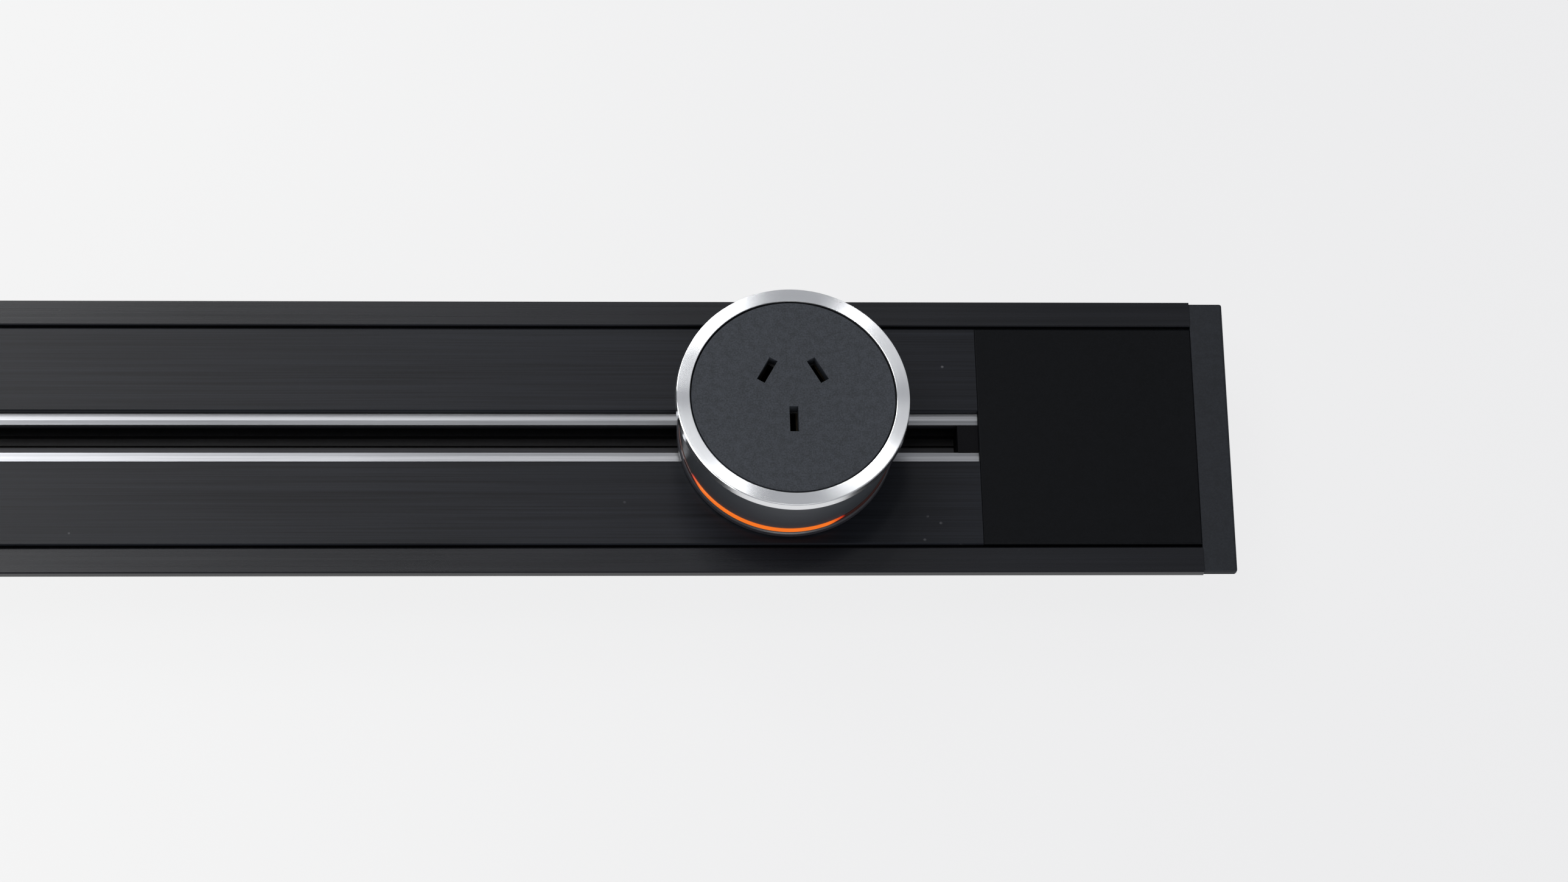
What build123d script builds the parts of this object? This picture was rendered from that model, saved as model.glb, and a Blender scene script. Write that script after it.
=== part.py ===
from build123d import *
from math import cos, radians, sin
import os

# Power track with one twist-in socket adapter, in millimetres.
# X runs along the track, +Y is across it towards the socket's live and neutral
# slots, and +Z comes out of the front face. The origin is at the middle of the
# track's length and width, on its underside.

# Track extrusion
track_length = 400.0
track_width = 80.0
track_height = 24.0
flange_thickness = 2.5
flange_overhang = 10.0
wall = 2.0
border_width = 7.2
groove_width = 1.0
slot_width = 8.2
slot_depth = 12.0
lip_height = 4.5
edge_break = 0.3

# Strips that dress the face
panel_thickness = 2.0
trim_width = 3.2
trim_thickness = 1.5
trim_recess = 1.8
trim_bevel_width = 1.2
trim_bevel_drop = 0.35
strip_gap = 0.1
panel_rib_width = 1.2
panel_rib_depth = 1.2
panel_rib_inset = 4.5

# Conductors and their insulating carriers
channel_width = 35.0
rib_thickness = 1.5
busbar_thickness = 1.6
busbar_height = 4.0
busbar_proud = 0.3
busbar_drop = 0.5
carrier_foot_gap = 0.9
earth_rail_width = 2.7
earth_rail_height = 3.0
earth_groove_width = 0.7
earth_groove_depth = 1.0
port_offset = 8.5
port_bore = 2.6
port_wall = 1.3

# Feed end
end_cap_length = 9.2
end_cap_inset = 0.3
end_cap_spigot = 6.0
spigot_clearance = 0.2
end_cap_edge = 0.8
feed_cover_length = 60.0
feed_cover_skirt = 1.2
feed_cover_edge = 0.45
window_margin = 3.0
window_width = 33.0
terminal_block_length = 24.0
terminal_block_clearance = 0.5
terminal_screw_radius = 2.0
terminal_screw_slot = 0.7
wire_hole_size = 3.0
cable_entry_radius = 5.5
slot_stop_length = 5.6
slot_stop_drop = 0.2
slot_stop_clearance = 0.1

# Screws
end_screw_radius = 1.25
end_screw_head_radius = 2.4
end_screw_head_height = 1.6
end_screw_grip = 10.0
fixing_hole_radius = 2.25
fixing_access_width = 8.4
fixing_inset = 30.8
fixing_spacing_y = 47.0

# Socket adapter
adapter_to_cover = 53.0
running_gap = 0.3
bearing_clearance = 0.05
base_rim = 0.4
base_thickness = 2.1
base_edge = 0.5
light_ring_proud = 0.3
light_ring_width = 4.0
light_ring_height = 1.7
body_top_radius = 31.2
body_taper = 2.1
body_height = 18.7
body_wall = 1.5
body_floor = 2.0
trim_ring_overhang = 0.6
trim_ring_width = 3.8
trim_ring_height = 4.5
trim_ring_edge = 0.25
face_thickness = 3.4
face_recess = 0.35
face_clearance = 0.1
face_edge = 0.2

# Pin slots of the socket
pin_pitch = 13.72
pin_line_radius = 7.92
earth_pin_radius = 10.31
pin_slot_length = 7.3
pin_slot_width = 2.4
pin_lean = 30.0
pin_centre_rise = 3.9

# Contacts inside the adapter
contact_block_gap = 1.5
contact_leaf = 0.5
contact_gap = 1.4
contact_width = 5.8
contact_height = 13.0
contact_clearance = 0.1
tail_width = 2.4
stem_radius = 2.6
stem_flange_width = 11.0
stem_flange_height = 1.6
wing_radius = 10.7
wing_width = 5.2
wing_drop = 0.3
wing_height = 4.0
wing_tip_length = 3.4
earth_tip_radius = 1.3
earth_tip_seat = 1.0
key_clearance = 0.3
key_length = 20.0
key_corner = 2.0
led_board_width = 5.0
led_board_thickness = 1.0
led_board_half_angle = 55.0
led_count = 3
led_spacing = 24.0
led_bearing = 255.0
led_size = 2.0
led_height = 0.8

# Levels across the track
seat_z = track_height - panel_thickness
lip_z = track_height - lip_height
trim_top = track_height - trim_recess
trim_seat_z = trim_top - trim_thickness
floor_z = track_height - slot_depth
body_half = track_width / 2 - flange_overhang
border_inner = track_width / 2 - border_width
panel_outer = border_inner - groove_width
slot_half = slot_width / 2
trim_outer = slot_half + trim_width
channel_half = channel_width / 2
port_radius = port_bore / 2 + port_wall
port_z = wall + port_radius - edge_break

# Places along the track
housing_half = track_length / 2 - end_cap_length
cover_left = housing_half - feed_cover_length
adapter_x = cover_left - adapter_to_cover
window_left = cover_left + window_margin
window_right = housing_half - window_margin
block_left = window_left + strip_gap + feed_cover_skirt + terminal_block_clearance
block_right = block_left + terminal_block_length
cable_entry_x = (block_right + housing_half) / 2

# Levels up the adapter
base_bottom = track_height + running_gap
base_top = base_bottom + base_thickness
light_bottom = base_top + running_gap
body_bottom = light_bottom + light_ring_height
body_inside = body_bottom + body_floor
body_top = body_bottom + body_height
ring_top = body_top + trim_ring_height
face_top = ring_top - face_recess
face_bottom = face_top - face_thickness
wing_top = lip_z - wing_drop
wing_bottom = wing_top - wing_height
contact_bottom = face_bottom - contact_height
busbar_inner = wing_radius + busbar_proud
busbar_top = lip_z - busbar_drop

# Radii out from the adapter's axis
body_bottom_radius = body_top_radius - body_taper
body_bore = body_bottom_radius - body_wall
light_ring_radius = body_bottom_radius + light_ring_proud
light_ring_bore = light_ring_radius - light_ring_width
led_circle = light_ring_bore + strip_gap + led_size / 2
base_radius = light_ring_radius + base_rim
trim_ring_radius = body_top_radius + trim_ring_overhang
trim_ring_bore = trim_ring_radius - trim_ring_width
led_board_radius = body_bore - strip_gap
contact_block_width = 2 ** 0.5 * (led_board_radius - led_board_width - contact_block_gap)


def across(y0, y1, z0, z1):
    """A rectangle of the track's section, given in y and z."""
    return Pos((y0 + y1) / 2, (z0 + z1) / 2) * Rectangle(abs(y1 - y0), z1 - z0)


def along(section, x0, x1):
    """The section run along the track from x0 to x1."""
    return extrude(Plane.YZ.offset(x0) * section, x1 - x0)


def block(x0, x1, y0, y1, z0, z1):
    """A box between two corners."""
    centre = Pos((x0 + x1) / 2, (y0 + y1) / 2, (z0 + z1) / 2)
    return centre * Box(x1 - x0, y1 - y0, z1 - z0)


def post(x, y, z0, z1, radius):
    """An upright cylinder from z0 to z1."""
    return Pos(x, y, (z0 + z1) / 2) * Cylinder(radius, z1 - z0)


def rod(x0, x1, y, z, radius):
    """A cylinder along the track from x0 to x1."""
    return Pos((x0 + x1) / 2, y, z) * Rot(0, 90, 0) * Cylinder(radius, x1 - x0)


def turned(points):
    """A body turned about the adapter's axis from its radius and height points."""
    section = make_face(Polyline(*[(r, 0, z) for r, z in points], close=True))
    return Pos(adapter_x, 0, 0) * revolve(section, Axis.Z)


def flipped(shape):
    """The shape mirrored to the other side of the slot."""
    return mirror(shape, about=Plane.XZ)


def long_edges(shape, z, *ys):
    """The edges that run along the track at height z and at each given y."""
    found = shape.edges().filter_by(Axis.X)
    return [e for e in found if abs(e.center().Z - z) < 0.01 and any(abs(e.center().Y - y) < 0.01 for y in ys)]


def panel_ribs():
    """Places across the track of the ribs under a panel."""
    return (trim_outer + panel_rib_inset, panel_outer - panel_rib_inset)


def fixing_points():
    """Places of the screws that hold the track down, in from the panels' ends."""
    ends = (fixing_inset - housing_half, cover_left - fixing_inset)
    return [(x, side * fixing_spacing_y / 2) for x in ends for side in (-1, 1)]


def housing_section():
    """The aluminium extrusion's section, with its slot, hollows and screw ports."""
    body = across(-body_half, body_half, 0, track_height)
    section = body + across(-track_width / 2, track_width / 2, track_height - flange_thickness, track_height)
    section -= across(-border_inner, border_inner, seat_z, track_height)
    section -= across(-channel_half, channel_half, wall, lip_z)
    for side in (-1, 1):
        section -= across(side * (channel_half + rib_thickness), side * (body_half - wall), wall, lip_z)
        section -= across(side * slot_half, side * trim_outer, trim_seat_z, seat_z)
        section += Pos(side * port_offset, port_z) * Circle(port_radius)
        for y in panel_ribs():
            reach = panel_rib_width / 2 + strip_gap
            section -= across(side * y - reach, side * y + reach, seat_z - panel_rib_depth - strip_gap, seat_z)
    section -= across(-slot_half, slot_half, floor_z, track_height)
    for side in (-1, 1):
        section -= Pos(side * port_offset, port_z) * Circle(port_bore / 2)
    return section


def track_housing():
    """The flanged extrusion, with its feed window, cable entry and fixing holes."""
    body = along(housing_section(), -housing_half, housing_half)
    outer = track_width / 2
    body = chamfer(long_edges(body, track_height, -outer, outer, -border_inner, border_inner), edge_break)
    body -= block(window_left, window_right, -window_width / 2, window_width / 2, lip_z - wall, track_height)
    body -= post(cable_entry_x, 0, 0, wall, cable_entry_radius)
    for x, y in fixing_points():
        body -= post(x, y, 0, wall, fixing_hole_radius)
        body -= Pos(x, y, (lip_z + seat_z) / 2) * Box(fixing_access_width, fixing_access_width, seat_z - lip_z)
    return body


def panel():
    """One face strip: a flat bar with two snap ribs under it."""
    inner = trim_outer + strip_gap
    section = across(inner, panel_outer, seat_z, track_height)
    for y in panel_ribs():
        half = panel_rib_width / 2
        section += across(y - half, y + half, seat_z - panel_rib_depth, seat_z)
    bar = along(section, -housing_half, cover_left)
    return chamfer(long_edges(bar, track_height, inner, panel_outer), edge_break)


def slot_trim():
    """One bright strip beside the slot, bevelled down towards it."""
    bevel = slot_half + trim_bevel_width
    outline = Polyline(
        (slot_half, trim_seat_z), (trim_outer, trim_seat_z), (trim_outer, trim_top),
        (bevel, trim_top), (slot_half, trim_top - trim_bevel_drop), close=True,
    )
    return along(make_face(outline), -housing_half, cover_left)


def busbar():
    """One current-carrying strip, running into the terminal block."""
    section = across(busbar_inner, busbar_inner + busbar_thickness, busbar_top - busbar_height, busbar_top)
    return along(section, -housing_half, block_left + terminal_block_length / 2)


def busbar_carrier():
    """One insulating profile that grips a busbar behind the slot's lip."""
    face = busbar_inner + busbar_proud
    bottom = port_z + port_radius
    section = across(face, channel_half, bottom, lip_z)
    section += across(slot_half, face, bottom, wing_bottom - carrier_foot_gap)
    section -= across(face, busbar_inner + busbar_thickness, busbar_top - busbar_height, busbar_top)
    return along(section, -housing_half, block_left)


def earth_carrier():
    """The insulating floor of the slot, grooved on both sides of the earth rail."""
    rail_half = earth_rail_width / 2
    section = across(-slot_half, slot_half, wall, floor_z)
    section -= across(-rail_half, rail_half, floor_z - earth_rail_height, floor_z)
    reach = rail_half + earth_groove_width
    section -= across(-reach, reach, floor_z - earth_groove_depth, floor_z)
    return along(section, -housing_half, block_left)


def earth_rail():
    """The earth conductor in the middle of the slot's floor."""
    half = earth_rail_width / 2
    section = across(-half, half, floor_z - earth_rail_height, floor_z)
    return along(section, -housing_half, block_left + terminal_block_length / 2)


def slot_stop(x0):
    """A block that closes one end of the slot."""
    half = slot_half - slot_stop_clearance
    return block(x0, x0 + slot_stop_length, -half, half, floor_z, trim_top - slot_stop_drop)


def feed_cover():
    """The plate over the terminals, with a skirt that snaps into the window."""
    plate = block(cover_left, housing_half, -panel_outer, panel_outer, seat_z, track_height)
    plate = chamfer(plate.faces().sort_by(Axis.Z)[-1].edges(), feed_cover_edge)
    half = window_width / 2 - strip_gap
    left = window_left + strip_gap
    right = window_right - strip_gap
    skirt = block(left, right, -half, half, lip_z, seat_z)
    skirt -= block(
        left + feed_cover_skirt, right - feed_cover_skirt,
        -half + feed_cover_skirt, half - feed_cover_skirt, lip_z, seat_z,
    )
    return plate + skirt


def terminal_points():
    """Places across the track, and heights, of the three conductors' tops."""
    side = busbar_inner + busbar_thickness / 2
    return ((side, busbar_top), (-side, busbar_top), (0, floor_z))


def terminal_top():
    """Height of the terminal block, just under the feed cover."""
    return seat_z - terminal_block_clearance


def terminal_block():
    """The insulating block in which the supply wires meet the conductors."""
    half = window_width / 2 - strip_gap - feed_cover_skirt - terminal_block_clearance
    body = block(block_left, block_right, -half, half, wall, terminal_top())
    body -= busbar() + flipped(busbar()) + earth_rail()
    reach = port_radius + strip_gap
    for side in (-1, 1):
        y = side * port_offset
        body -= block(block_left, block_right, y - reach, y + reach, wall, port_z + reach)
    screw_x = block_left + terminal_block_length / 4
    wire_half = wire_hole_size / 2
    for y, z in terminal_points():
        body -= post(screw_x, y, z, terminal_top(), terminal_screw_radius)
        middle = block_left + terminal_block_length / 2
        body -= block(middle, block_right, y - wire_half, y + wire_half, z - wire_hole_size, z)
    return body


def terminal_screws():
    """The three slotted clamp screws that bear on the conductors."""
    screw_x = block_left + terminal_block_length / 4
    screws = []
    for y, z in terminal_points():
        screw = post(screw_x, y, z, terminal_top(), terminal_screw_radius)
        half = terminal_screw_slot / 2
        cut = block(
            screw_x - 2 * terminal_screw_radius, screw_x + 2 * terminal_screw_radius,
            y - half, y + half, terminal_top() - half, terminal_top(),
        )
        screws.append(screw - cut)
    return Compound(children=screws)


def right_end_cap():
    """The moulded cap on the feed end, plugged into the extrusion's hollows."""
    half = body_half - end_cap_inset
    wing = track_width / 2 - end_cap_inset
    under = track_height - flange_thickness
    top = track_height - end_cap_inset
    section = across(-half, half, 0, top) + across(-wing, wing, under, top)
    cap = along(section, housing_half, track_length / 2)
    cap = chamfer(cap.faces().sort_by(Axis.X)[-1].edges(), end_cap_edge)
    inner = channel_half + rib_thickness + spigot_clearance
    outer = body_half - wall - spigot_clearance
    for side in (-1, 1):
        plug = across(side * inner, side * outer, wall + spigot_clearance, lip_z - spigot_clearance)
        cap += along(plug, housing_half - end_cap_spigot, housing_half)
        y = side * port_offset
        cap -= rod(housing_half, track_length / 2, y, port_z, end_screw_radius)
        head = track_length / 2 - end_screw_head_height
        cap -= rod(head, track_length / 2, y, port_z, end_screw_head_radius)
    return cap


def end_cap_screws():
    """Four screws that draw the caps onto the extrusion."""
    screws = []
    for side in (-1, 1):
        y = side * port_offset
        end = track_length / 2
        screw = rod(housing_half - end_screw_grip, end, y, port_z, end_screw_radius)
        screw += rod(end - end_screw_head_height, end, y, port_z, end_screw_head_radius)
        screws += [screw, mirror(screw, about=Plane.YZ)]
    return Compound(children=screws)


def adapter_base():
    """The gliding base: a thin disc with a key that keeps it square in the slot."""
    disc = post(adapter_x, 0, base_bottom, base_top, base_radius)
    disc = chamfer(disc.edges().sort_by(Axis.Z)[-1], base_edge)
    key = block(
        -key_length / 2, key_length / 2,
        -slot_half + key_clearance, slot_half - key_clearance, wing_top + running_gap, base_bottom,
    )
    key = Pos(adapter_x, 0, 0) * fillet(key.edges().filter_by(Axis.Z), key_corner)
    return disc + key - post(adapter_x, 0, 0, base_top, stem_radius + bearing_clearance)


def led_angles():
    """Bearings of the lamps behind the light ring."""
    return [led_bearing + (i - (led_count - 1) / 2) * led_spacing for i in range(led_count)]


def led_point(angle):
    """Place and turn of one lamp on its bearing, at the body's floor."""
    x, y = led_circle * cos(radians(angle)), led_circle * sin(radians(angle))
    return Pos(adapter_x + x, y, body_inside) * Rot(0, 0, angle)


def adapter_body():
    """The tapered cup that the hand turns, stepped under its floor for the light ring."""
    body = turned([
        (0, light_bottom), (light_ring_bore, light_bottom),
        (light_ring_bore, body_bottom), (body_bottom_radius, body_bottom),
        (body_top_radius, body_top), (body_bore, body_top), (body_bore, body_inside), (0, body_inside),
    ])
    body -= post(adapter_x, 0, light_bottom, body_inside, stem_radius)
    for angle in led_angles():
        body -= led_point(angle) * Pos(0, 0, -body_floor / 2) * Box(led_size, led_size, body_floor)
    return body


def light_ring():
    """The translucent ring round the body's foot."""
    return turned([
        (light_ring_bore, light_bottom), (light_ring_radius, light_bottom),
        (light_ring_radius, body_bottom), (light_ring_bore, body_bottom),
    ])


def trim_ring():
    """The turned metal ring round the face, standing a little proud of the body."""
    return turned([
        (trim_ring_bore, body_top), (trim_ring_radius, body_top),
        (trim_ring_radius, ring_top - trim_ring_edge), (trim_ring_radius - trim_ring_edge, ring_top),
        (trim_ring_bore, ring_top),
    ])


def pin_places():
    """Place and lean of the live, neutral and earth slots."""
    row = (pin_line_radius ** 2 - (pin_pitch / 2) ** 2) ** 0.5
    half = pin_pitch / 2
    return {
        "live": (adapter_x + half, pin_centre_rise + row, pin_lean),
        "neutral": (adapter_x - half, pin_centre_rise + row, -pin_lean),
        "earth": (adapter_x, pin_centre_rise - earth_pin_radius, 0),
    }


def pin_prism(name, width, length, z0, z1):
    """A prism in line with one slot."""
    x, y, lean = pin_places()[name]
    return Pos(x, y, (z0 + z1) / 2) * Rot(0, 0, lean) * Box(width, length, z1 - z0)


def socket_face():
    """The socket's front plate with its three pin slots."""
    disc = post(adapter_x, 0, face_bottom, face_top, trim_ring_bore - face_clearance)
    disc = chamfer(disc.edges().sort_by(Axis.Z)[-1], face_edge)
    for name in pin_places():
        disc -= pin_prism(name, pin_slot_width, pin_slot_length, face_bottom, face_top)
    return disc


def socket_contact(name):
    """One folded spring contact: two leaves joined by a foot, with a tail below."""
    outer = contact_gap + 2 * contact_leaf
    clip = pin_prism(name, outer, contact_width, contact_bottom, face_bottom)
    clip -= pin_prism(name, contact_gap, contact_width, contact_bottom + contact_leaf, face_bottom)
    tail = pin_prism(name, contact_leaf, tail_width, body_inside + stem_flange_height, contact_bottom)
    return clip + tail


def stem_flange():
    """The square flange that keys the stem into the contact block."""
    half = stem_flange_width / 2
    return block(
        adapter_x - half, adapter_x + half, -half, half, body_inside, body_inside + stem_flange_height,
    )


def contact_block():
    """The insulating block behind the face that holds the three contacts."""
    half = contact_block_width / 2
    core = block(adapter_x - half, adapter_x + half, -half, half, body_inside, face_bottom)
    core -= stem_flange()
    outer = contact_gap + 2 * contact_leaf + 2 * contact_clearance
    for name in pin_places():
        core -= pin_prism(name, outer, contact_width + 2 * contact_clearance, contact_bottom, face_bottom)
        core -= pin_prism(name, contact_leaf, tail_width, body_inside, contact_bottom)
    return core


def led_board():
    """The arc-shaped board that carries the lamps over the light ring's front."""
    bottom = body_inside + led_height
    top = bottom + led_board_thickness
    ring = post(adapter_x, 0, bottom, top, led_board_radius)
    ring -= post(adapter_x, 0, bottom, top, led_board_radius - led_board_width)
    start = led_board_radius * cos(radians(led_board_half_angle))
    depth = led_board_radius - start
    front = Pos(start + depth / 2, 0) * Box(depth, 2 * led_board_radius, top - bottom)
    return ring & Pos(adapter_x, 0, (bottom + top) / 2) * Rot(0, 0, led_bearing) * front


def leds():
    """The lamps on the board's underside, each over its own light window."""
    lamp = Pos(0, 0, led_height / 2) * Box(led_size, led_size, led_height)
    return Compound(children=[led_point(angle) * lamp for angle in led_angles()])


def wing_bar(z0, z1):
    """The stem's cross bar, with its ends on the wings' circle."""
    bar = Box(wing_width, 2 * wing_radius, z1 - z0) & Cylinder(wing_radius, z1 - z0)
    return Pos(adapter_x, 0, (z0 + z1) / 2) * bar


def wing_contact(side):
    """The copper shoe on one end of the cross bar."""
    ends = sorted((side * (wing_radius - wing_tip_length), side * (wing_radius + 1)))
    tip = block(adapter_x - wing_width, adapter_x + wing_width, *ends, wing_bottom, wing_top)
    return wing_bar(wing_bottom, wing_top) & tip


def twist_stem():
    """The insulating stem and cross bar that lock behind the slot's lips."""
    stem = post(adapter_x, 0, wing_bottom, body_inside, stem_radius)
    stem += stem_flange()
    stem += wing_bar(wing_bottom, wing_top)
    stem -= wing_contact(1) + wing_contact(-1)
    return stem - post(adapter_x, 0, wing_bottom, wing_bottom + earth_tip_seat, earth_tip_radius)


def earth_tip():
    """The earth contact in the foot of the stem, just over the earth rail."""
    return post(adapter_x, 0, floor_z + running_gap, wing_bottom + earth_tip_seat, earth_tip_radius)


def all_parts():
    """Every piece by its name."""
    parts = {
        "track_housing": track_housing(),
        "upper_panel": panel(),
        "lower_panel": flipped(panel()),
        "upper_slot_trim": slot_trim(),
        "lower_slot_trim": flipped(slot_trim()),
        "live_carrier": busbar_carrier(),
        "neutral_carrier": flipped(busbar_carrier()),
        "live_busbar": busbar(),
        "neutral_busbar": flipped(busbar()),
        "earth_carrier": earth_carrier(),
        "earth_rail": earth_rail(),
        "right_slot_stop": slot_stop(cover_left - slot_stop_length),
        "left_slot_stop": slot_stop(-housing_half),
        "feed_cover": feed_cover(),
        "terminal_block": terminal_block(),
        "terminal_screws": terminal_screws(),
        "right_end_cap": right_end_cap(),
        "left_end_cap": mirror(right_end_cap(), about=Plane.YZ),
        "end_cap_screws": end_cap_screws(),
        "adapter_base": adapter_base(),
        "adapter_body": adapter_body(),
        "light_ring": light_ring(),
        "trim_ring": trim_ring(),
        "socket_face": socket_face(),
        "contact_block": contact_block(),
        "led_board": led_board(),
        "leds": leds(),
        "twist_stem": twist_stem(),
        "live_wing": wing_contact(1),
        "neutral_wing": wing_contact(-1),
        "earth_tip": earth_tip(),
    }
    for name in pin_places():
        parts[name + "_socket_contact"] = socket_contact(name)
    return parts


os.makedirs("parts", exist_ok=True)
for node, shape in all_parts().items():
    export_step(shape, "parts/" + node + ".step")
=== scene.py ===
"""Looks of a power track with one twist-in socket adapter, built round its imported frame."""

import logging
import math
from dataclasses import dataclass
from enum import Enum
from typing import Callable, Iterable, Optional, Sequence, Union

import bpy
from mathutils import Matrix, Vector


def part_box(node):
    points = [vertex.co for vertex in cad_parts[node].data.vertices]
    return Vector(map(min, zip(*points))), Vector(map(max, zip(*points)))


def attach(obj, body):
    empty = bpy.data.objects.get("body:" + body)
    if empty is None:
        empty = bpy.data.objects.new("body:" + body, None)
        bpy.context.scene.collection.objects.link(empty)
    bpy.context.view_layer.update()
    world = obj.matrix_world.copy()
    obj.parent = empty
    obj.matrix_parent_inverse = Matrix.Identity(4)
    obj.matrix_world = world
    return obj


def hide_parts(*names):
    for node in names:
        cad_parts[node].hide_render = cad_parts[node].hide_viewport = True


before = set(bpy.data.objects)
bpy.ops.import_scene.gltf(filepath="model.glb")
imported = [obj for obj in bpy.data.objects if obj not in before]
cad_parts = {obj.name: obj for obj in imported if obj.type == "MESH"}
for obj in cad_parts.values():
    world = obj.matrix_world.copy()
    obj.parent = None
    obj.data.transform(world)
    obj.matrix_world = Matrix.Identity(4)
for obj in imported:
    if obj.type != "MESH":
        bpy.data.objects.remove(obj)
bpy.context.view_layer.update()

MM = 0.001
# Places closer than the first count as one, and points closer than the second are merged.
CLOSE = 0.01 * MM
MERGED = 0.001 * MM
# The least share of a normal that counts as facing along an axis.
FACING = 0.9
# How far a cutter or a joined block reaches past a surface.
SPARE = 1 * MM
# Sides of a large round, and of the bright ring.
ROUND = 192
FINE_ROUND = 256
LOG = logging.getLogger("power_track")

Point = tuple[float, float]
Triple = tuple[float, float, float]
Colour = tuple[float, float, float, float]
Value = Union["Wire", float, Sequence[float]]
Piece = bpy.types.Object


def painted(red: int, green: int, blue: int) -> Colour:
    """Turns a colour as it is seen, 0 to 255, into the linear one that shaders use.

    Args:
        red: the red share.
        green: the green share.
        blue: the blue share.

    Returns:
        The linear colour with an alpha of 1.
    """
    def linear(share: int) -> float:
        """One channel made linear."""
        value = share / 255
        return value / 12.92 if value <= 0.04045 else ((value + 0.055) / 1.055) ** 2.4
    return (linear(red), linear(green), linear(blue), 1.0)


class Body(Enum):
    """The moving bodies of the frame."""

    TRACK = "track"
    CARRIAGE = "carriage"
    HEAD = "head"


class Wire:
    """One node output that takes part in sums written as Python."""

    def __init__(self, graph: "Graph", socket: bpy.types.NodeSocket) -> None:
        """Keeps the socket and the graph that it belongs to."""
        self.graph = graph
        self.socket = socket

    def _sum(self, operation: str, first: Value, second: Value) -> "Wire":
        """Adds one Math node of that operation."""
        return self.graph.node("ShaderNodeMath", {"operation": operation}, {0: first, 1: second})

    def __add__(self, other: Value) -> "Wire":
        """Adds, in either order."""
        return self._sum("ADD", self, other)

    __radd__ = __add__

    def __sub__(self, other: Value) -> "Wire":
        """Subtracts."""
        return self._sum("SUBTRACT", self, other)

    def __rsub__(self, other: Value) -> "Wire":
        """Subtracts from a number."""
        return self._sum("SUBTRACT", other, self)

    def __mul__(self, other: Value) -> "Wire":
        """Multiplies, in either order."""
        return self._sum("MULTIPLY", self, other)

    __rmul__ = __mul__

    def __truediv__(self, other: Value) -> "Wire":
        """Divides."""
        return self._sum("DIVIDE", self, other)

    def __pow__(self, other: Value) -> "Wire":
        """Raises to a power."""
        return self._sum("POWER", self, other)


class Graph:
    """The node tree of one material or of the world."""

    def __init__(self, tree: bpy.types.NodeTree) -> None:
        """Starts an empty tree."""
        self.tree = tree
        tree.nodes.clear()

    def node(self, kind: str, settings: Optional[dict] = None, inputs: Optional[dict] = None,
             output: Union[int, str] = 0) -> Wire:
        """Makes one node.

        Args:
            kind: the node's type.
            settings: what is set on the node first.
            inputs: a number, colour or wire for each input that isn't left alone.
            output: the output that is wanted.

        Returns:
            The wire from that output.
        """
        node = self.tree.nodes.new(kind)
        for name, value in (settings or {}).items():
            setattr(node, name, value)
        for name, value in (inputs or {}).items():
            if isinstance(value, Wire):
                self.tree.links.new(value.socket, node.inputs[name])
            else:
                node.inputs[name].default_value = value
        return Wire(self, node.outputs[output] if node.outputs else None)

    def place(self, centre: Sequence[float] = (0, 0, 0), rate: Sequence[float] = (1, 1, 1)) -> Wire:
        """Object coordinates about a centre, multiplied by a rate on each axis.

        Args:
            centre: the point, in metres, that becomes zero.
            rate: how many units a metre becomes along each axis.

        Returns:
            The coordinates.
        """
        where = self.node("ShaderNodeTexCoord", output="Object")
        shift = tuple(-c * r for c, r in zip(centre, rate))
        return self.node("ShaderNodeMapping", {"vector_type": "POINT"}, {
            "Vector": where, "Location": shift, "Scale": rate})

    def axes(self, vector: Wire) -> tuple[Wire, Wire, Wire]:
        """Splits a vector into its three numbers."""
        split = self.node("ShaderNodeSeparateXYZ", inputs={0: vector})
        outputs = split.socket.node.outputs
        return tuple(Wire(self, outputs[i]) for i in range(3))

    def noise(self, vector: Wire, scale: float = 1.0, detail: float = 2.0,
              roughness: float = 0.5) -> Wire:
        """Noise from 0 to 1, about 0.5 in the middle.

        Args:
            vector: where the noise is read.
            scale: its rate.
            detail: how many finer layers it has.
            roughness: how strong those are.

        Returns:
            The noise as a number.
        """
        return self.node("ShaderNodeTexNoise", None, {
            "Vector": vector, "Scale": scale, "Detail": detail, "Roughness": roughness})

    def between(self, value: Wire, low: float, high: float) -> Wire:
        """A smooth step from 0 at low to 1 at high."""
        return self.node("ShaderNodeMapRange", {"interpolation_type": "SMOOTHSTEP"},
                         {"Value": value, "From Min": low, "From Max": high})

    def blend(self, factor: Wire, first: Value, second: Value) -> Wire:
        """Mixes two colours by a factor."""
        return self.node("ShaderNodeMix", {"data_type": "RGBA"},
                         {0: factor, 6: first, 7: second}, output=2)

    def bump(self, height: Wire, distance: float) -> Wire:
        """Turns a height from 0 to 1 into a surface normal, 1 being that deep in metres."""
        return self.node("ShaderNodeBump", None, {"Height": height, "Distance": distance})


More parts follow.
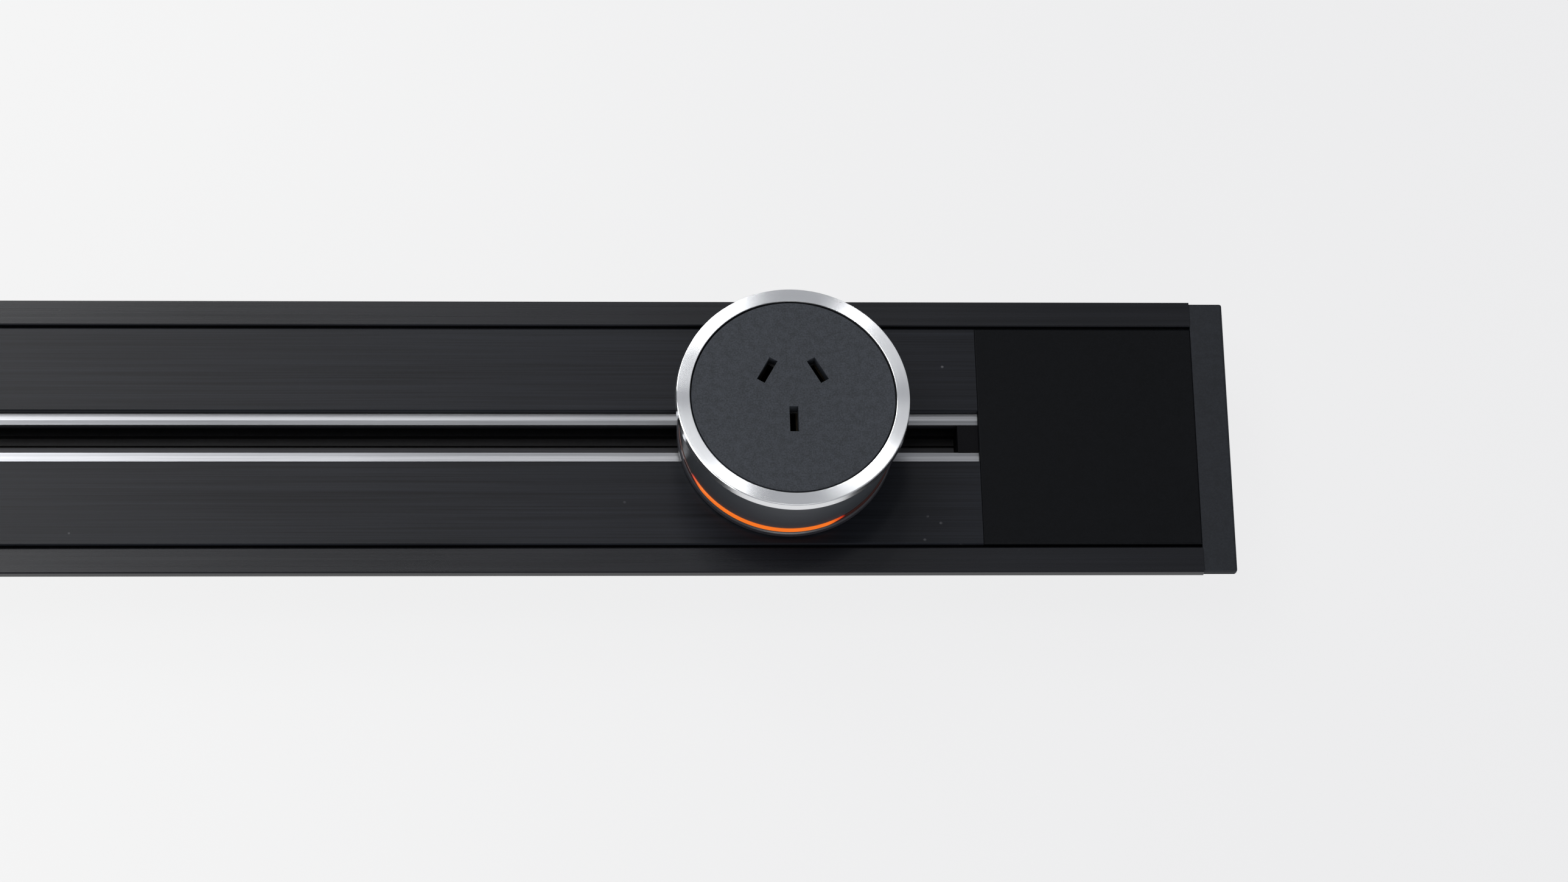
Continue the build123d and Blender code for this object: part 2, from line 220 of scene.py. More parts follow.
@dataclass(frozen=True)
class Finish:
    """What every finish has: a name, the record's slot, and its plain shader numbers."""

    name: str
    slot: str
    colour: Colour
    roughness: float = 0.5
    metallic: float = 0.0
    specular: float = 0.5
    anisotropic: float = 0.0
    turn: float = 0.0
    glow: float = 0.0

    def varying(self, graph: Graph) -> dict:
        """The shader inputs that change over the surface.

        Args:
            graph: the node tree.

        Returns:
            A wire for each such input, by the input's name.
        """
        raise NotImplementedError

    def material(self) -> bpy.types.Material:
        """The finish as a material, made once.

        Returns:
            The material.
        """
        made = bpy.data.materials.get(self.name)
        if made:
            return made
        made = bpy.data.materials.new(self.name)
        made.use_nodes = True
        made.diffuse_color = self.colour
        graph = Graph(made.node_tree)
        inputs = {
            "Base Color": self.colour, "Roughness": self.roughness, "Metallic": self.metallic,
            "Specular IOR Level": self.specular, "Anisotropic": self.anisotropic,
            "Anisotropic Rotation": self.turn, "Emission Strength": self.glow,
        }
        inputs.update(self.varying(graph))
        shader = graph.node("ShaderNodeBsdfPrincipled", None, inputs)
        graph.node("ShaderNodeOutputMaterial", None, {"Surface": shader})
        return made

    def put_on(self, piece: Piece) -> None:
        """Makes this the piece's only material."""
        piece.data.materials.clear()
        piece.data.materials.append(self.material())


@dataclass(frozen=True)
class Hairline(Finish):
    """Metal brushed or drawn along the track, with hairlines, faint clouds and a few specks."""

    light: Colour = (1, 1, 1, 1)
    streaks: float = 0.5
    depth: float = 0.02 * MM
    clouds: float = 0.3
    specks: float = 0.0
    dull_edge: float = 0.0
    fine_rate: Triple = (22, 3600, 3600)
    broad_rate: Triple = (7, 900, 900)
    cloud_rate: Triple = (9, 26, 26)
    speck_rate: Triple = (210, 240, 240)
    seldom_rate: Triple = (55, 70, 70)
    dust_colour: Colour = painted(170, 170, 174)
    steep: float = 0.3
    level: float = 0.95

    def varying(self, graph: Graph) -> dict:
        """Hairlines in colour, roughness and height, and duller edges between steep and level.

        Args:
            graph: the node tree.

        Returns:
            The colour, roughness and normal.
        """
        fine = graph.noise(graph.place(rate=self.fine_rate), detail=2.0, roughness=0.6)
        broad = graph.noise(graph.place(rate=self.broad_rate), detail=3.0, roughness=0.65)
        cloud = graph.noise(graph.place(rate=self.cloud_rate), detail=3.0)
        lines = graph.between(0.55 * fine + 0.45 * broad, 0.32, 0.68)
        share = lines * self.streaks + graph.between(cloud, 0.3, 0.7) * self.clouds
        tint = graph.blend(share, self.colour, self.light)
        if self.specks:
            speck = graph.node("ShaderNodeTexVoronoi", None, {
                "Vector": graph.place(rate=self.speck_rate), "Scale": 1.0})
            seldom = graph.noise(graph.place(rate=self.seldom_rate), detail=1.0)
            dust = graph.between(0.11 - speck, 0.0, 0.05) * graph.between(seldom, 0.66, 0.74)
            tint = graph.blend(dust * self.specks, tint, self.dust_colour)
        rough = self.roughness + 0.12 * (broad - 0.5) + 0.06 * (cloud - 0.5)
        if self.dull_edge:
            upward = graph.axes(graph.node("ShaderNodeNewGeometry", output="Normal"))[2]
            broken = graph.between(upward, self.steep, self.steep + 0.2)
            rough = rough + self.dull_edge * broken * graph.between(self.level - upward, 0.0, 0.1)
        return {
            "Base Color": tint,
            "Roughness": rough,
            "Normal": graph.bump(0.6 * fine + 0.4 * broad, self.depth),
        }


@dataclass(frozen=True)
class Moulded(Finish):
    """Moulded plastic with a fine spark-eroded grain and a faint uneven sheen."""

    light: Colour = (1, 1, 1, 1)
    grain: float = 2600.0
    depth: float = 0.02 * MM
    speckle: float = 0.5
    coarse_share: float = 0.22
    cloud_rate: Triple = (32, 32, 32)

    def varying(self, graph: Graph) -> dict:
        """Grain in colour, roughness and height.

        Args:
            graph: the node tree.

        Returns:
            The colour, roughness and normal.
        """
        grain = graph.noise(graph.place(rate=(self.grain,) * 3), detail=3.0, roughness=0.65)
        coarse = graph.noise(graph.place(rate=(self.grain * self.coarse_share,) * 3), detail=2.0)
        cloud = graph.noise(graph.place(rate=self.cloud_rate), detail=2.0)
        relief = 0.7 * grain + 0.3 * coarse
        share = graph.between(relief, 0.34, 0.66) * self.speckle
        return {
            "Base Color": graph.blend(share + (cloud - 0.5) * 0.2, self.colour, self.light),
            "Roughness": self.roughness + 0.1 * (coarse - 0.5),
            "Normal": graph.bump(relief, self.depth),
        }


@dataclass(frozen=True)
class Turned(Finish):
    """Metal faced on a lathe: fine circular lines round the adapter's axis."""

    light: Colour = (1, 1, 1, 1)
    axis: Point = (0.0, 0.0)
    pitch: float = 0.3 * MM
    depth: float = 0.004 * MM
    streaks: float = 0.4
    patches: float = 0.05
    cloud_rate: Triple = (60, 60, 60)
    polished_below: float = 0.0
    polish: float = 0.6
    polish_fade: float = 0.05 * MM

    def varying(self, graph: Graph) -> dict:
        """Circular lines in colour, roughness and height, and a smoother side.

        Args:
            graph: the node tree.

        Returns:
            The colour, roughness and normal.
        """
        x, y, z = graph.axes(graph.place(centre=(*self.axis, 0)))
        radius = (x * x + y * y) ** 0.5
        round_lines = graph.node("ShaderNodeCombineXYZ", None, {
            0: radius / self.pitch, 1: z / self.pitch})
        fine = graph.noise(round_lines, detail=2.0, roughness=0.6)
        wide = graph.noise(round_lines, scale=0.21, detail=2.0)
        cloud = graph.noise(graph.place(rate=self.cloud_rate), detail=2.0)
        relief = 0.6 * fine + 0.4 * wide
        lines = graph.between(relief, 0.35, 0.65)
        rough = self.roughness + 0.03 * (wide - 0.5) + self.patches * (cloud - 0.5)
        if self.polished_below:
            above = graph.between(
                z, self.polished_below - self.polish_fade, self.polished_below + self.polish_fade)
            rough = rough * (self.polish + (1 - self.polish) * above)
        return {
            "Base Color": graph.blend(lines * self.streaks, self.colour, self.light),
            "Roughness": rough,
            "Normal": graph.bump(relief, self.depth),
        }


@dataclass(frozen=True)
class Glow(Finish):
    """A translucent ring lit from inside over part of its round."""

    warm: Colour = (1, 1, 1, 1)
    red: Colour = (1, 0, 0, 1)
    axis: Point = (0.0, 0.0)
    unlit: Colour = painted(70, 30, 22)
    bearing: float = 253.5
    spread: float = 48.0
    foot: float = 0.0
    top: float = 0.0
    cloud_rate: Triple = (300, 300, 300)

    def varying(self, graph: Graph) -> dict:
        """Light that fades and reddens away from its middle bearing.

        Args:
            graph: the node tree.

        Returns:
            The colour and the emitted colour.
        """
        x, y, z = graph.axes(graph.place(centre=(*self.axis, 0)))
        bearing = math.radians(self.bearing)
        radius = (x * x + y * y) ** 0.5
        facing = (x * math.cos(bearing) + y * math.sin(bearing)) / radius
        edge = math.cos(math.radians(self.spread))
        share = (facing - edge) / (1 - edge)
        height = (z - self.foot) / (self.top - self.foot)
        raised = 1.0 - graph.between(share, 0.0, 0.45)
        lit = graph.between(height - 0.85 * raised, -0.05, 0.12) * graph.between(share, 0.0, 0.12)
        clouds = graph.noise(graph.place(rate=self.cloud_rate), detail=2.0)
        colour = graph.blend(graph.between(share, 0.03, 0.4), self.red, self.warm)
        return {
            "Base Color": graph.blend(clouds * 0.5, self.colour, self.unlit),
            "Emission Color": graph.blend(lit * (0.9 + 0.2 * (clouds - 0.5)), (0, 0, 0, 1), colour),
        }


@dataclass(frozen=True)
class Stock(Finish):
    """Plain metal or board as it comes, with slight tarnish and clouding."""

    light: Colour = (1, 1, 1, 1)
    rate: float = 420.0
    finer: float = 7
    depth: float = 0.01 * MM

    def varying(self, graph: Graph) -> dict:
        """Tarnish in colour and roughness.

        Args:
            graph: the node tree.

        Returns:
            The colour, roughness and normal.
        """
        cloud = graph.noise(graph.place(rate=(self.rate,) * 3), detail=3.0)
        fine = graph.noise(graph.place(rate=(self.rate * self.finer,) * 3), detail=2.0)
        return {
            "Base Color": graph.blend(graph.between(cloud, 0.3, 0.7), self.colour, self.light),
            "Roughness": self.roughness + 0.15 * (cloud - 0.5),
            "Normal": graph.bump(fine, self.depth),
        }


def axis_point() -> Point:
    """The adapter's axis, read from its ring in the frame."""
    low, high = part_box("trim_ring")
    return ((low[0] + high[0]) / 2, (low[1] + high[1]) / 2)


AXIS = axis_point()
# How far down from its top the bright ring keeps its turned lines.
RIM_DEPTH = 0.69 * MM

ANODISED = Hairline(
    "anodised_black_metal", "anodised_black", painted(11, 12, 15), roughness=0.27, specular=0.22,
    light=painted(19, 20, 25), streaks=0.5, depth=0.010 * MM, specks=0.4, dull_edge=0.6)
BRUSHED = Hairline(
    "brushed_black_metal", "brushed_black", painted(10, 11, 14), roughness=0.33, specular=0.13,
    light=painted(22, 24, 29), streaks=0.85, depth=0.014 * MM, specks=0.2, dull_edge=0.6)
TRIM = Hairline(
    "drawn_bright_metal", "bright_trim", painted(128, 129, 132), roughness=0.32, metallic=1.0,
    light=painted(156, 157, 160), streaks=0.6, depth=0.002 * MM)
INSULATOR = Moulded(
    "black_insulator_plastic", "black_insulator", painted(14, 14, 16), roughness=0.45, specular=0.3,
    light=painted(26, 26, 29), grain=1800.0)
COPPER = Stock(
    "drawn_copper", "copper", painted(176, 104, 70), roughness=0.34, metallic=1.0,
    light=painted(205, 132, 92))
RAIL = Hairline(
    "dark_rail_metal", "dark_rail", painted(40, 40, 43), roughness=0.42, metallic=0.5,
    light=painted(62, 62, 66), streaks=0.6, depth=0.006 * MM)
STOP = Moulded(
    "slot_stop_plastic", "slot_stop", painted(6, 6, 8), roughness=0.6, specular=0.05,
    light=painted(12, 12, 15))
COVER = Moulded(
    "cover_matt_plastic", "cover_plastic", painted(6, 7, 9), roughness=0.6, specular=0.06,
    light=painted(13, 14, 17), grain=2200.0, depth=0.014 * MM)
CAP = Moulded(
    "cap_matt_plastic", "cap_plastic", painted(22, 24, 28), roughness=0.6, specular=0.16,
    light=painted(34, 37, 42), grain=2000.0, depth=0.016 * MM)
TERMINAL = Moulded(
    "terminal_grey_plastic", "terminal_plastic", painted(96, 98, 100), roughness=0.5,
    light=painted(120, 122, 124))
STEEL = Stock(
    "zinc_steel", "steel_screw", painted(150, 152, 156), roughness=0.3, metallic=1.0,
    light=painted(186, 188, 192))
BASE = Moulded(
    "base_satin_plastic", "base_plastic", painted(34, 34, 38), roughness=0.38, specular=0.5,
    light=painted(48, 48, 53), grain=2400.0, depth=0.010 * MM)
SHELL = Turned(
    "shell_dark_satin_metal", "shell_metallic", painted(44, 47, 51), roughness=0.46, specular=0.36,
    light=painted(55, 58, 62), axis=AXIS, depth=0.002 * MM)
LENS = Glow(
    "lit_orange_lens", "light_lens", painted(52, 24, 20), roughness=0.3, glow=1.0,
    warm=painted(255, 122, 30), red=painted(206, 40, 16), axis=AXIS,
    foot=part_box("light_ring")[0][2], top=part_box("light_ring")[1][2])
RING = Turned(
    "turned_bright_metal", "turned_ring", painted(229, 230, 232), roughness=0.21, metallic=1.0,
    anisotropic=1.0, turn=0.25, light=painted(240, 240, 241), axis=AXIS, depth=0.0003 * MM,
    streaks=0.25, patches=0.0, polished_below=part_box("trim_ring")[1][2] - RIM_DEPTH)
FACE = Moulded(
    "face_matt_plastic", "face_plastic", painted(30, 33, 37), roughness=0.62, specular=0.2,
    light=painted(50, 53, 59), grain=2300.0, depth=0.016 * MM, speckle=0.85)
# The socket contacts are painted near black: painted shade for the dark inside the pin slots, far
# darker than brass's own colour.
SHADED_BRASS = Stock(
    "contact_brass_painted_shade", "contact_brass", painted(15, 13, 10), roughness=0.5, metallic=1.0,
    light=painted(23, 20, 15))
BOARD = Stock(
    "green_board", "board", painted(18, 66, 44), roughness=0.4, light=painted(26, 84, 56),
    rate=700.0)
LAMP = Moulded(
    "lamp_resin", "lamp", painted(226, 214, 170), roughness=0.3, light=painted(240, 230, 196))
STEM = Moulded(
    "stem_black_plastic", "stem_plastic", painted(24, 24, 26), roughness=0.5,
    light=painted(36, 36, 39), grain=1800.0)


class Bench:
    """Modelling as by hand: primitives shaped in edit mode, one piece at a time."""

    @staticmethod
    def free() -> None:
        """Leaves edit mode, with nothing selected."""
        if bpy.context.object and bpy.context.object.mode != "OBJECT":
            bpy.ops.object.mode_set(mode="OBJECT")
        bpy.ops.object.select_all(action="DESELECT")

    @staticmethod
    def take(piece: Piece) -> None:
        """Makes a piece the active one and the only one that is selected."""
        Bench.free()
        piece.select_set(True)
        bpy.context.view_layer.objects.active = piece

    @staticmethod
    def edit(piece: Piece, mode: str = "VERT", action: str = "SELECT") -> None:
        """Opens a piece in edit mode, with all or nothing in it selected.

        Args:
            piece: the piece.
            mode: VERT, EDGE or FACE.
            action: SELECT or DESELECT.
        """
        Bench.take(piece)
        bpy.ops.object.mode_set(mode="EDIT")
        bpy.ops.mesh.select_mode(type=mode)
        bpy.ops.mesh.select_all(action=action)

    @staticmethod
    def pick_edges(piece: Piece, wanted: Callable[[Vector, Vector], bool]) -> None:
        """Opens a piece with the edges selected whose two ends satisfy a test.

        Args:
            piece: the settled piece.
            wanted: the test on an edge's two ends.
        """
        Bench.edit(piece, "EDGE", "DESELECT")
        bpy.ops.object.mode_set(mode="OBJECT")
        points = piece.data.vertices
        for edge in piece.data.edges:
            edge.select = wanted(*(points[end].co for end in edge.vertices))
        bpy.ops.object.mode_set(mode="EDIT")

    @staticmethod
    def pick_faces(piece: Piece, wanted: Callable[[Vector, Vector], bool]) -> None:
        """Opens a piece with the faces selected whose middle and normal satisfy a test.

        Args:
            piece: the settled piece.
            wanted: the test on a face's middle and normal.
        """
        Bench.edit(piece, "FACE", "DESELECT")
        bpy.ops.object.mode_set(mode="OBJECT")
        for face in piece.data.polygons:
            face.select = wanted(face.center, face.normal)
        bpy.ops.object.mode_set(mode="EDIT")

    @staticmethod
    def settle(piece: Piece, name: str) -> Piece:
        """Names a piece and puts its place into its mesh.

        Args:
            piece: the piece.
            name: its name.

        Returns:
            The piece.
        """
        Bench.take(piece)
        piece.name = name
        piece.data.name = name
        bpy.ops.object.transform_apply(location=True, rotation=True, scale=True)
        return piece

    @staticmethod
    def smooth(piece: Piece, degrees: float) -> None:
        """Shades a piece smooth where it bends little, and keeps its flat faces flat.

        Args:
            piece: the piece.
            degrees: the sharpest bend that is shaded smooth.
        """
        Bench.take(piece)
        bpy.ops.object.shade_smooth_by_angle(angle=math.radians(degrees))
        flat = piece.modifiers.new("flat", "WEIGHTED_NORMAL")
        flat.keep_sharp = True
        bpy.ops.object.modifier_apply(modifier=flat.name)

    @staticmethod
    def turned(name: str, centre: Point, outline: Sequence[Point], steps: int = ROUND) -> Piece:
        """A closed ring turned from its outline.

        Args:
            name: the piece's name.
            centre: its axis, in metres.
            outline: its radius and height points in millimetres, all the way round.
            steps: how many sides its round has.

        Returns:
            The piece, with its place in its mesh.
        """
        Bench.free()
        points = [(r * MM, z * MM) for r, z in outline]
        radius, height = points[0]
        bpy.ops.mesh.primitive_circle_add(vertices=steps, radius=radius, location=(*centre, height))
        piece = Bench.settle(bpy.context.object, name)
        Bench.edit(piece, "EDGE")
        for next_radius, next_height in points[1:] + points[:1]:
            rise = (0, 0, next_height - height)
            bpy.ops.mesh.extrude_edges_move(TRANSFORM_OT_translate={"value": rise})
            share = next_radius / radius
            bpy.ops.transform.resize(
                value=(share, share, 1), center_override=(*centre, next_height))
            radius, height = next_radius, next_height
        bpy.ops.mesh.select_all(action="SELECT")
        bpy.ops.mesh.remove_doubles(threshold=MERGED)
        bpy.ops.mesh.normals_make_consistent(inside=False)
        Bench.free()
        return piece

    @staticmethod
    def block(name: str, low: Sequence[float], high: Sequence[float], lean: float = 0.0) -> Piece:
        """A block between two corners, to be shaped further.

        Args:
            name: the piece's name.
            low: its lowest corner, in metres.
            high: its highest corner, in metres.
            lean: its turn about its own upright axis, in degrees.

        Returns:
            The block.
        """
        Bench.free()
        middle = [(a + b) / 2 for a, b in zip(low, high)]
        size = [b - a for a, b in zip(low, high)]
        bpy.ops.mesh.primitive_cube_add(
            size=1, location=middle, rotation=(0, 0, math.radians(lean)), scale=size)
        return Bench.settle(bpy.context.object, name)

    @staticmethod
    def post(name: str, foot: Sequence[float], radius: float, height: float,
             sides: int = 48, lying: bool = False) -> Piece:
        """A round post, to be shaped further or to cut with.

        Args:
            name: the piece's name.
            foot: the middle of its lower end, or of its left end if it lies.
            radius: its radius, in metres.
            height: its length, in metres.
            sides: how many sides its round has.
            lying: whether it lies along the track.

        Returns:
            The post.
        """
        Bench.free()
        half_way = Vector((height / 2, 0, 0)) if lying else Vector((0, 0, height / 2))
        turn = (0, math.pi / 2, 0) if lying else (0, 0, 0)
        bpy.ops.mesh.primitive_cylinder_add(
            vertices=sides, radius=radius, depth=height, location=Vector(foot) + half_way,
            rotation=turn)
        return Bench.settle(bpy.context.object, name)

    @staticmethod
    def carve(piece: Piece, cutters: Iterable[Piece], operation: str = "DIFFERENCE") -> None:
        """Cuts pieces out of one, or joins them to it, and clears them away.

        Args:
            piece: the piece that is changed.
            cutters: what is cut out or joined.
            operation: DIFFERENCE or UNION.
        """
        for cutter in cutters:
            Bench.take(piece)
            modifier = piece.modifiers.new("carve", "BOOLEAN")
            modifier.operation = operation
            modifier.solver = "EXACT"
            modifier.object = cutter
            bpy.ops.object.modifier_apply(modifier=modifier.name)
            bpy.data.objects.remove(cutter, do_unlink=True)

    @staticmethod
    def bevel(size: float, segments: int) -> None:
        """Rounds the selected edges.

        Args:
            size: the rounding's size in millimetres.
            segments: how many steps it has.
        """
        bpy.ops.mesh.bevel(offset=size * MM, segments=segments, affect="EDGES")

    @staticmethod
    def mirror(piece: Piece) -> None:
        """Turns a piece of the feed end into its counterpart at the other end.

        Args:
            piece: the settled piece.
        """
        Bench.edit(piece)
        bpy.ops.transform.mirror(
            orient_type="GLOBAL", constraint_axis=(True, False, False), center_override=(0, 0, 0))
        bpy.ops.mesh.normals_make_consistent(inside=False)

    @staticmethod
    def finish(piece: Piece, body: Body, finish: Finish, nodes: Sequence[str],
               angle: float = 28.0) -> None:
        """Shades, dresses and hangs a piece on its body.

        Args:
            piece: the piece.
            body: the body that it rides on.
            finish: its finish.
            nodes: the CAD nodes that it stands for.
            angle: the sharpest bend that is shaded smooth, in degrees.
        """
        Bench.smooth(piece, angle)
        finish.put_on(piece)
        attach(piece, body.value)
        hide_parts(*nodes)
        LOG.info("made %s with %d faces", piece.name, len(piece.data.polygons))


def dress(finish: Finish, *nodes: str) -> None:
    """Gives CAD nodes that stay as they are a finish.

    Args:
        finish: the finish.
        nodes: the nodes' names.
    """
    for name in nodes:
        finish.put_on(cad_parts[name])
        LOG.info("dressed %s in %s", name, finish.name)


@dataclass
class Track:
    """The extrusion, its face strips and its conductors, which keep their CAD shapes."""

    def build(self) -> None:
        """Dresses the track's pieces."""
        dress(ANODISED, "track_housing")
        dress(BRUSHED, "upper_panel", "lower_panel")
        dress(TRIM, "upper_slot_trim", "lower_slot_trim")
        dress(INSULATOR, "live_carrier", "neutral_carrier", "earth_carrier")
        dress(COPPER, "live_busbar", "neutral_busbar")
        dress(RAIL, "earth_rail")
        dress(STOP, "left_slot_stop", "right_slot_stop")


@dataclass
class FeedEnd:
    """The terminals, their cover, and the caps on both ends with their screws, in millimetres."""

    cover_thickness: float = 2.0
    cover_edge: float = 0.45
    skirt_inset: float = 3.1
    skirt_half: float = 16.4
    skirt_wall: float = 1.2
    weld: float = 0.4
    cap_length: float = 9.2
    cap_half: float = 29.7
    inset: float = 0.3
    flange_thickness: float = 2.5
    edge: float = 0.7
    edge_steps: int = 4
    cap_angle: float = 34.0
    cover_angle: float = 40.0
    plug_depth: float = 6.0
    plug_gap: float = 0.2
    plug_inner: float = 19.0
    plug_outer: float = 28.0
    plug_low: float = 2.0
    plug_high: float = 19.5
    screw_offset: float = 8.5
    screw_z: float = 5.6
    screw_radius: float = 1.25
    hole_depth: float = 12.0
    head_radius: float = 2.4
    head_height: float = 1.6
    head_edge: float = 0.5
    seat_length: float = 3.0
    shank_reach: float = 19.2
    shank_length: float = 18.0
    shank_sides: int = 32
    cross_depth: float = 0.9
    cross: Point = (0.5, 2.6)

    def build(self) -> None:
        """Builds the caps and screws, and dresses the rest."""
        self._cover()
        dress(TERMINAL, "terminal_block")
        dress(STEEL, "terminal_screws")
        for side in (1, -1):
            self._cap(side)
        self._screws()

    def _cover(self) -> None:
        """The feed cover: a plate with soft edges, on a skirt that snaps into the window."""
        low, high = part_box("feed_cover")
        seat = high[2] - self.cover_thickness * MM
        piece = Bench.block("feed_cover_plate", (low[0], low[1], seat), tuple(high))
        Bench.pick_edges(piece, lambda a, b: min(a.z, b.z) > high[2] - CLOSE)
        Bench.bevel(self.cover_edge, self.edge_steps)
        half, wall = self.skirt_half * MM, self.skirt_wall * MM
        start, end = low[0] + self.skirt_inset * MM, high[0] - self.skirt_inset * MM
        skirt = Bench.block("skirt", (start, -half, low[2]), (end, half, seat + self.weld * MM))
        Bench.carve(piece, [skirt], "UNION")
        hollow = Bench.block(
            "hollow", (start + wall, wall - half, low[2] - SPARE), (end - wall, half - wall, seat))
        Bench.carve(piece, [hollow])
        Bench.finish(piece, Body.TRACK, COVER, ["feed_cover"], self.cover_angle)

    def _cap(self, side: int) -> None:
        """One end cap, with rounded edges, plugs and screw seats, made at the feed end.

        Args:
            side: 1 for the feed end, -1 for the other.
        """
        node = "right_end_cap" if side > 0 else "left_end_cap"
        low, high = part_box(node)
        if side < 0:
            low, high = (-high[0], low[1], low[2]), (-low[0], high[1], high[2])
        seam = high[0] - self.cap_length * MM
        half_low, half_high = self.cap_half * MM, high[1]
        step = high[2] + self.inset * MM - self.flange_thickness * MM
        piece = Bench.block(
            node + "_moulding", (seam, -half_low, low[2]), (high[0], half_low, high[2]))
        Bench.edit(piece, "FACE")
        bpy.ops.mesh.bisect(plane_co=(0, 0, step), plane_no=(0, 0, 1))
        Bench.pick_faces(piece, lambda c, n: c.z > step and abs(n.y) > FACING)
        bpy.ops.mesh.extrude_region_shrink_fatten(
            TRANSFORM_OT_shrink_fatten={"value": half_high - half_low})
        outer, tip = high[0] - CLOSE, half_high - CLOSE
        Bench.pick_edges(piece, lambda a, b: (a.x > outer and b.x > outer) or (
            abs(a.x - b.x) > SPARE and abs(a.y) > tip and a.z > step + CLOSE))
        Bench.bevel(self.edge, self.edge_steps)
        plugs, cutters = [], []
        for s in (-1, 1):
            plugs.append(self._plug(seam, s))
            y, z = s * self.screw_offset * MM, self.screw_z * MM
            cutters.append(Bench.post(
                "hole", (seam - SPARE, y, z), self.screw_radius * MM, self.hole_depth * MM,
                lying=True))
            cutters.append(Bench.post(
                "seat", (high[0] - self.head_height * MM, y, z), self.head_radius * MM,
                self.seat_length * MM, lying=True))
        Bench.carve(piece, plugs, "UNION")
        Bench.carve(piece, cutters)
        if side < 0:
            Bench.mirror(piece)
        Bench.finish(piece, Body.TRACK, CAP, [node], self.cap_angle)

    def _plug(self, seam: float, side: int) -> Piece:
        """One plug that goes into a hollow of the extrusion.

        Args:
            seam: where the extrusion ends, in metres.
            side: 1 for the upper hollow, -1 for the lower.

        Returns:
            The plug.
        """
        gap = self.plug_gap
        near, far = sorted((side * (self.plug_inner + gap), side * (self.plug_outer - gap)))
        return Bench.block(
            "plug", (seam - self.plug_depth * MM, near * MM, (self.plug_low + gap) * MM),
            (seam + SPARE, far * MM, (self.plug_high - gap) * MM))

    def _screws(self) -> None:
        """Four pan-head screws with a cross recess."""
        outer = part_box("end_cap_screws")[1][0]
        for side in (1, -1):
            for s in (-1, 1):
                screw = self._screw(outer, s * self.screw_offset * MM, self.screw_z * MM)
                if side < 0:
                    Bench.mirror(screw)
                end, row = "right" if side > 0 else "left", "upper" if s > 0 else "lower"
                screw = Bench.settle(screw, f"{end}_cap_screw_{row}")
                Bench.finish(screw, Body.TRACK, STEEL, ["end_cap_screws"])

    def _screw(self, outer: float, y: float, z: float) -> Piece:
        """One screw at the feed end.

        Args:
            outer: how far along the track its head reaches, in metres.
            y: its place across the track, in metres.
            z: its height, in metres.

        Returns:
            The screw.
        """
        screw = Bench.post(
            "screw", (outer - self.head_height * MM, y, z), self.head_radius * MM,
            self.head_height * MM, lying=True)
        Bench.pick_edges(screw, lambda a, b: min(a.x, b.x) > outer - CLOSE)
        Bench.bevel(self.head_edge, self.edge_steps)
        shank = Bench.post(
            "shank", (outer - self.shank_reach * MM, y, z), self.screw_radius * MM,
            self.shank_length * MM, self.shank_sides, lying=True)
        Bench.carve(screw, [shank], "UNION")
        for wide, tall in (self.cross, self.cross[::-1]):
            Bench.carve(screw, [Bench.block(
                "cross", (outer - self.cross_depth * MM, y - wide / 2 * MM, z - tall / 2 * MM),
                (outer + SPARE, y + wide / 2 * MM, z + tall / 2 * MM))])
        return screw


def level(node: str, high: bool) -> float:
    """The height of a node's top or underside in the frame, in millimetres."""
    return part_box(node)[1 if high else 0][2] / MM


def reach(node: str) -> float:
    """Half a round node's width in the frame, in millimetres."""
    low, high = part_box(node)
    return (high[0] - low[0]) / 2 / MM


